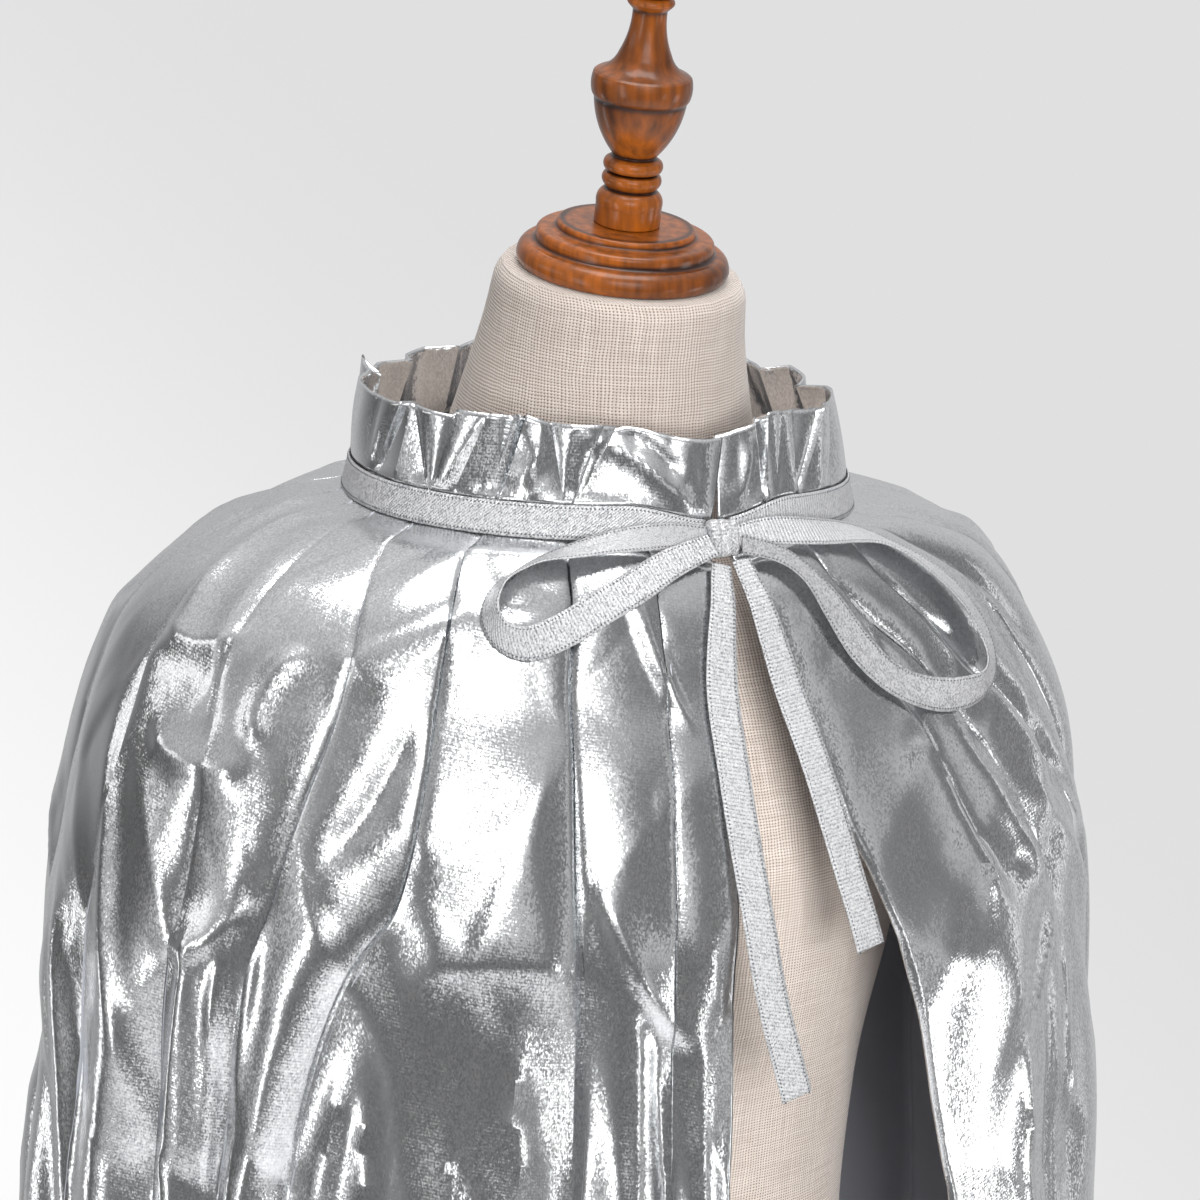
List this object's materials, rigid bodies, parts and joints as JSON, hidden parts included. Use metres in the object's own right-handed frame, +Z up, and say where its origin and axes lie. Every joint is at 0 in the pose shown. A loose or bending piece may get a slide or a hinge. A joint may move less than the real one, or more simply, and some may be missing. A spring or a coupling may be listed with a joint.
{
  "type": "foil cape on a limbless dress form",
  "caption": "Silver foil cape with a gathered neck frill and a tied ribbon bow, on a limbless linen dress form with a turned wooden neck cap, finial and round stand.",
  "frame": {"origin": "middle of the stand's foot, on the floor", "axes": "+Z up along the pole, -Y out of the form's front, +X to the wearer's left"},
  "size_m": [0.5861, 0.4828, 1.6352],
  "materials": {
    "foil_cloth": "silver foil coating on a fine knit, bright and creased",
    "lurex_ribbon": "ribbed metallic ribbon with stitched edges",
    "linen": "open plain weave, matte",
    "varnished_wood": "turned, stained red-brown and varnished"
  },
  "bodies": {
    "root": {"cape_front_right": "foil_cloth", "cape_front_left": "foil_cloth", "cape_back": "foil_cloth", "neck_frill": "foil_cloth", "neck_ribbon": "lurex_ribbon", "bow_knot": "lurex_ribbon", "bow_loop_right": "lurex_ribbon", "bow_loop_left": "lurex_ribbon", "ribbon_tail_right": "lurex_ribbon", "ribbon_tail_left": "lurex_ribbon", "form_torso": "linen", "neck_cap": "varnished_wood", "finial": "varnished_wood", "stand_pole": "varnished_wood", "stand_base": "varnished_wood"}
  },
  "joints": []
}
